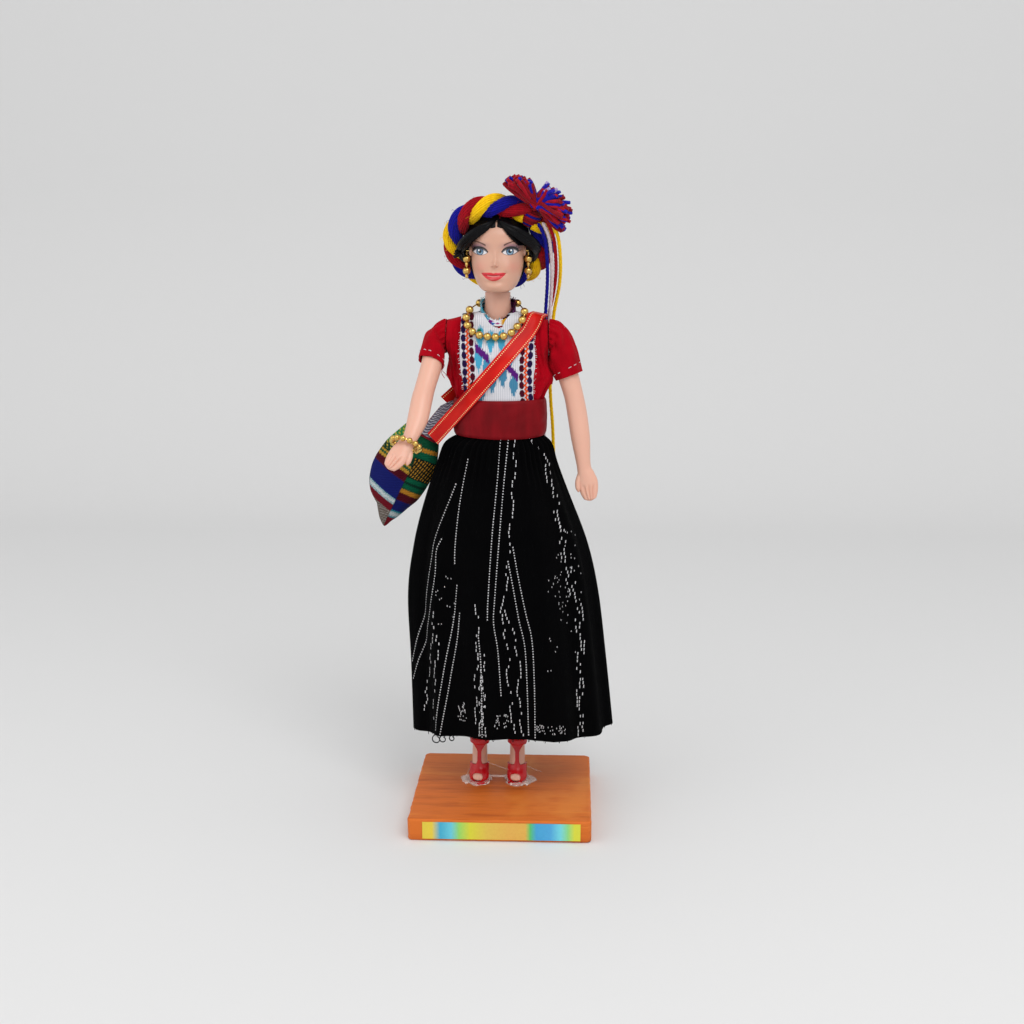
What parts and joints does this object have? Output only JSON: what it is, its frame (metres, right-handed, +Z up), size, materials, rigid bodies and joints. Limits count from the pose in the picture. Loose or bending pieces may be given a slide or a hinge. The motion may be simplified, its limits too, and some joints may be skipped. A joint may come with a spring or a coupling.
{
  "type": "costume doll",
  "caption": "Jointed vinyl doll in a woven folk costume with a yarn head wrap and a shoulder bag, standing glued to a painted wooden base.",
  "frame": {"origin": "centre of the wooden base's underside", "axes": "+Z up, the doll faces -Y, +X is the doll's left"},
  "size_m": [0.1211, 0.0908, 0.3193],
  "materials": {
    "painted_wood": "brush-painted wood",
    "label_paper": "printed paper",
    "hot_glue": "clear hot-melt glue",
    "skin_vinyl": "satin vinyl",
    "red_vinyl": "glossy vinyl",
    "steel": "plain steel",
    "black_hair": "glossy synthetic fibre",
    "red_yarn": "acrylic yarn",
    "yellow_yarn": "acrylic yarn",
    "blue_yarn": "acrylic yarn",
    "white_yarn": "acrylic yarn",
    "gilt": "gilt beads, polished",
    "red_cotton": "plain-woven cotton",
    "brocade": "white brocade",
    "crimson_satin": "satin",
    "black_cotton": "black weave with white stripes",
    "red_satin": "satin ribbon with metallic edges",
    "woven_cotton": "multicoloured hand weave"
  },
  "bodies": {
    "base": {"base_block": "painted_wood", "label_strip": "label_paper", "glue_pad_right": "hot_glue", "glue_pad_left": "hot_glue", "shoe_right": "red_vinyl", "shoe_left": "red_vinyl", "leg_right": "skin_vinyl", "leg_left": "skin_vinyl", "hip_axle": "steel"},
    "torso": {"torso_front": "skin_vinyl", "torso_back": "skin_vinyl", "neck_post": "skin_vinyl", "blouse_body": "red_cotton", "blouse_panel": "brocade", "collar": "brocade", "sash": "crimson_satin", "skirt": "black_cotton", "ribbon": "red_satin", "necklace": "gilt"},
    "head": {"head": "skin_vinyl", "hair": "black_hair", "wrap_red": "red_yarn", "wrap_yellow": "yellow_yarn", "wrap_blue": "blue_yarn", "wrap_knot": "red_yarn", "pompom": "red_yarn", "tail_blue": "blue_yarn", "tail_white": "white_yarn", "tail_red": "red_yarn", "tail_yellow": "yellow_yarn"},
    "arm_right": {"arm_right": "skin_vinyl", "sleeve_right": "red_cotton", "bracelet": "gilt"},
    "arm_left": {"arm_left": "skin_vinyl", "sleeve_left": "red_cotton"},
    "earring_right": {"earring_right_wire": "gilt", "earring_right_upper_bead": "gilt", "earring_right_lower_bead": "gilt"},
    "earring_left": {"earring_left_wire": "gilt", "earring_left_upper_bead": "gilt", "earring_left_lower_bead": "gilt"},
    "bag": {"bag_pouch": "woven_cotton", "bag_top_fold": "woven_cotton"}
  },
  "joints": [
    {"name": "hip_lean", "type": "hinge", "parent": "base", "child": "torso", "pos_m": [-0.003, 0.012, 0.168], "axis": [1, 0, 0], "range_deg": [-8, 8]},
    {"name": "neck_turn", "type": "hinge", "parent": "torso", "child": "head", "pos_m": [-0.003, 0.012, 0.262], "axis": [0, 0, 1], "range_deg": [-70, 70], "deforming": ["tail_blue", "tail_white", "tail_red", "tail_yellow"]},
    {"name": "shoulder_right", "type": "hinge", "parent": "torso", "child": "arm_right", "pos_m": [-0.03, 0.012, 0.243], "axis": [-1, 0, 0], "range_deg": [-18, 90]},
    {"name": "shoulder_left", "type": "hinge", "parent": "torso", "child": "arm_left", "pos_m": [0.024, 0.012, 0.243], "axis": [-1, 0, 0], "range_deg": [-40, 125]},
    {"name": "earring_swing_right", "type": "hinge", "parent": "head", "child": "earring_right", "pos_m": [-0.018, 0.009, 0.2825], "axis": [-1, 0, 0], "range_deg": [-8, 35]},
    {"name": "earring_swing_left", "type": "hinge", "parent": "head", "child": "earring_left", "pos_m": [0.012, 0.009, 0.2825], "axis": [-1, 0, 0], "range_deg": [-8, 35]},
    {"name": "bag_swing", "type": "hinge", "parent": "torso", "child": "bag", "pos_m": [-0.03, 0.0175, 0.2092], "axis": [1, 0, 0], "range_deg": [0, 20]}
  ]
}
